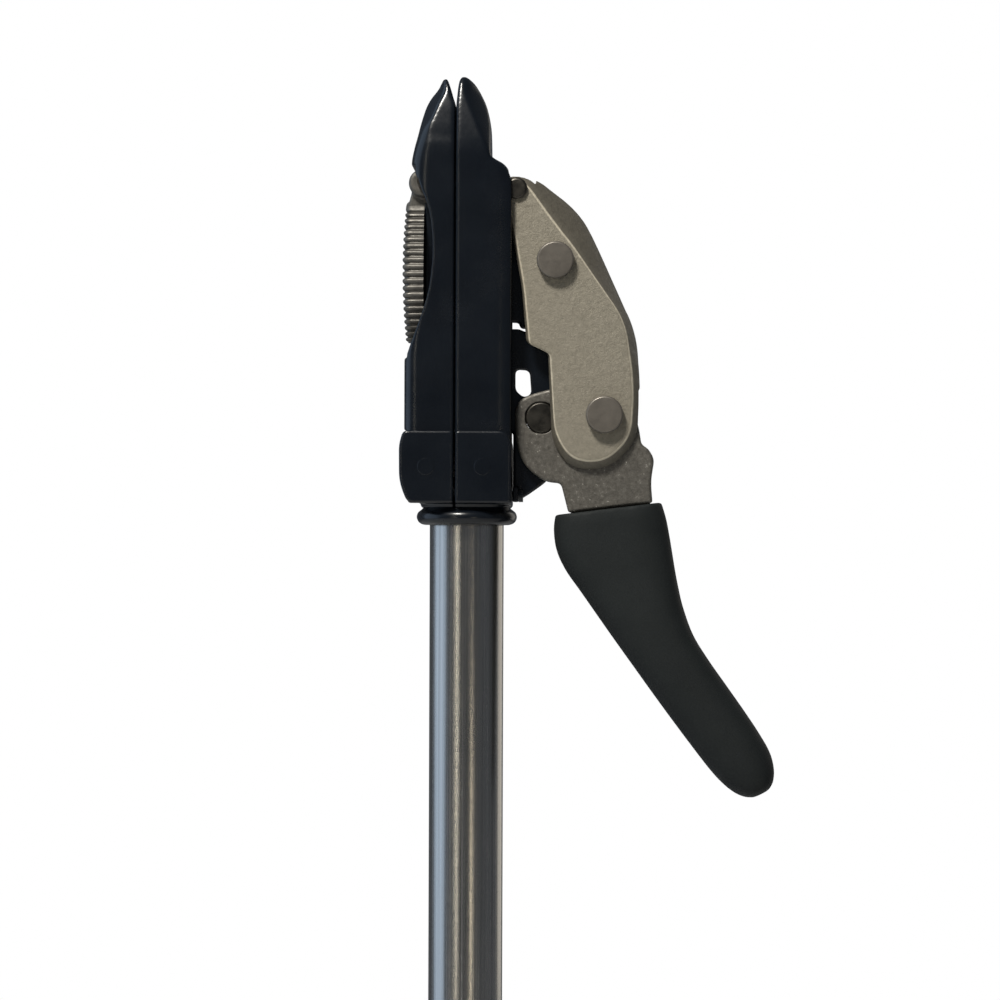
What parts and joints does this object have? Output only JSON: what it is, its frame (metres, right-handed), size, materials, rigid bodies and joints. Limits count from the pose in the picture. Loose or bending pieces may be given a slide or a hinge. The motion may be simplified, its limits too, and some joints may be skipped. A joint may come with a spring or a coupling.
{
  "type": "reacher grabber",
  "caption": "Hand reacher on a steel pole: geared pinch jaws in black shells, opened by a squeeze lever through a cast hood link, with a ribbed thumb trigger.",
  "frame": {"origin": "middle of the flat bottom of the pole's end cap", "axes": "+Z along the pole towards the jaws, +X towards the squeeze lever, -Y towards the front"},
  "size_m": [0.1264, 0.036, 0.6607],
  "materials": {
    "brushed_tube": "satin, brushed along the pole",
    "gloss_black": "gloss",
    "warm_cast_metal": "rough as cast, warm grey",
    "dark_cast_metal": "rough as cast, dark with bright grain",
    "pin_steel": "worn satin",
    "dark_steel": "blackened satin",
    "spring_steel": "drawn wire",
    "ribbed_grey": "satin, ribbed",
    "black_vinyl": "matt, fine grain",
    "pad_rubber": "matt"
  },
  "bodies": {
    "pole": {"pole_tube": "brushed_tube", "pole_end_cap": "black_vinyl", "tube_spigot": "dark_cast_metal", "spigot_pin": "pin_steel", "collar_ring": "gloss_black", "left_housing": "gloss_black", "right_housing": "gloss_black", "housing_screw_left": "pin_steel", "housing_screw_right": "pin_steel", "left_jaw_pin": "dark_steel", "right_jaw_pin": "dark_steel", "lever_bracket": "gloss_black", "bracket_screw_front": "dark_steel", "bracket_screw_rear": "dark_steel", "lever_pivot_pin": "dark_steel"},
    "left_jaw": {"left_jaw_shell": "gloss_black", "left_gear_sector": "pin_steel", "left_gear_screw": "dark_steel", "left_jaw_pad": "pad_rubber", "trigger_pin": "dark_steel", "trigger_spring": "spring_steel"},
    "trigger": {"thumb_trigger": "ribbed_grey", "trigger_arm": "gloss_black"},
    "right_jaw": {"right_jaw_shell": "gloss_black", "right_gear_sector": "pin_steel", "right_gear_screw": "dark_steel", "right_jaw_pad": "pad_rubber", "hood_pivot_pin": "dark_steel"},
    "lever": {"lever_casting": "dark_cast_metal", "lever_grip": "black_vinyl"},
    "hood": {"hood_casting": "warm_cast_metal", "hood_tie_pin": "pin_steel", "link_pin": "pin_steel", "tie_pin_sleeve": "pin_steel", "hood_spacer_front": "pin_steel", "hood_spacer_rear": "pin_steel", "return_spring": "spring_steel"}
  },
  "joints": [
    {"name": "lever_squeeze", "type": "hinge", "parent": "pole", "child": "lever", "pos_m": [0.025, 0, 0.5462], "axis": [0, 1, 0], "range_deg": [0, 20], "stiffness_Nm_per_rad": 1.5, "springref_deg": -11.46},
    {"name": "hood_link", "type": "hinge", "parent": "lever", "child": "hood", "pos_m": [0.0463, 0, 0.5472], "axis": [0, 1, 0], "range_deg": [-8.5, 0]},
    {"name": "right_jaw_swing", "type": "hinge", "parent": "pole", "child": "right_jaw", "pos_m": [0.00565, 0, 0.5296], "axis": [0, 1, 0], "range_deg": [0, 9.2]},
    {"name": "left_jaw_swing", "type": "hinge", "parent": "pole", "child": "left_jaw", "pos_m": [-0.01325, 0, 0.5296], "axis": [0, 1, 0], "range_deg": [-9.2, 0]},
    {"name": "trigger_press", "type": "hinge", "parent": "left_jaw", "child": "trigger", "pos_m": [-0.015, 0, 0.625], "axis": [0, -1, 0], "range_deg": [0, 4], "stiffness_Nm_per_rad": 0.3, "springref_deg": -2.86}
  ],
  "couplings": [
    {"joint": "hood_link", "follows": "lever_squeeze", "ratio": -0.425},
    {"joint": "right_jaw_swing", "follows": "lever_squeeze", "ratio": 0.46},
    {"joint": "left_jaw_swing", "follows": "lever_squeeze", "ratio": -0.46}
  ]
}
